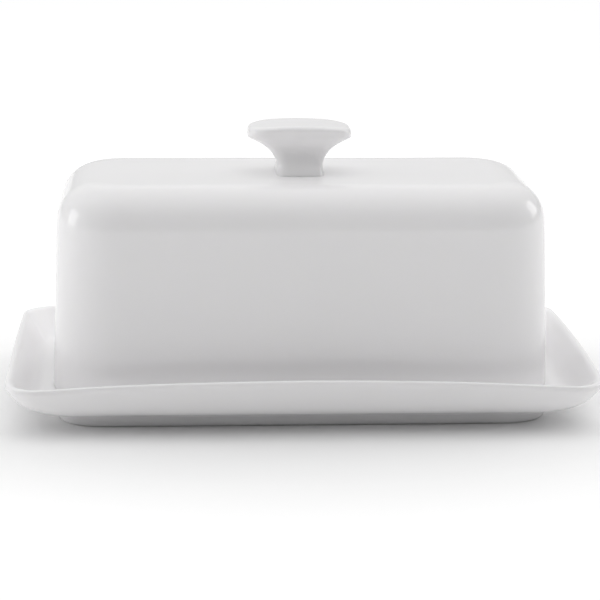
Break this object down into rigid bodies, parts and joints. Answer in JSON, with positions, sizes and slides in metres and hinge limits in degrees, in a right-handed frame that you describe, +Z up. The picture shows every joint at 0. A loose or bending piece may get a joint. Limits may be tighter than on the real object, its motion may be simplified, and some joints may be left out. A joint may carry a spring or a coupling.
{
  "type": "butter dish",
  "caption": "Covered rectangular butter dish in white glazed porcelain: flared tray on a low foot, domed box lid with a bar knob that lifts straight off",
  "frame": {"origin": "centre of the foot's standing plane, under the middle of the tray", "axes": "+X along the dish's length, +Y across it towards the back, +Z up"},
  "size_m": [0.1756, 0.1094, 0.0848],
  "materials": {
    "tray_porcelain": "gloss",
    "lid_porcelain": "gloss",
    "knob_porcelain": "gloss"
  },
  "bodies": {
    "tray": {"tray": "tray_porcelain"},
    "lid": {"lid": "lid_porcelain", "lid_knob": "knob_porcelain"}
  },
  "joints": [
    {"name": "lid_lift", "type": "slide", "parent": "tray", "child": "lid", "axis": [0, 0, 1], "range_m": [0, 0.1]}
  ]
}
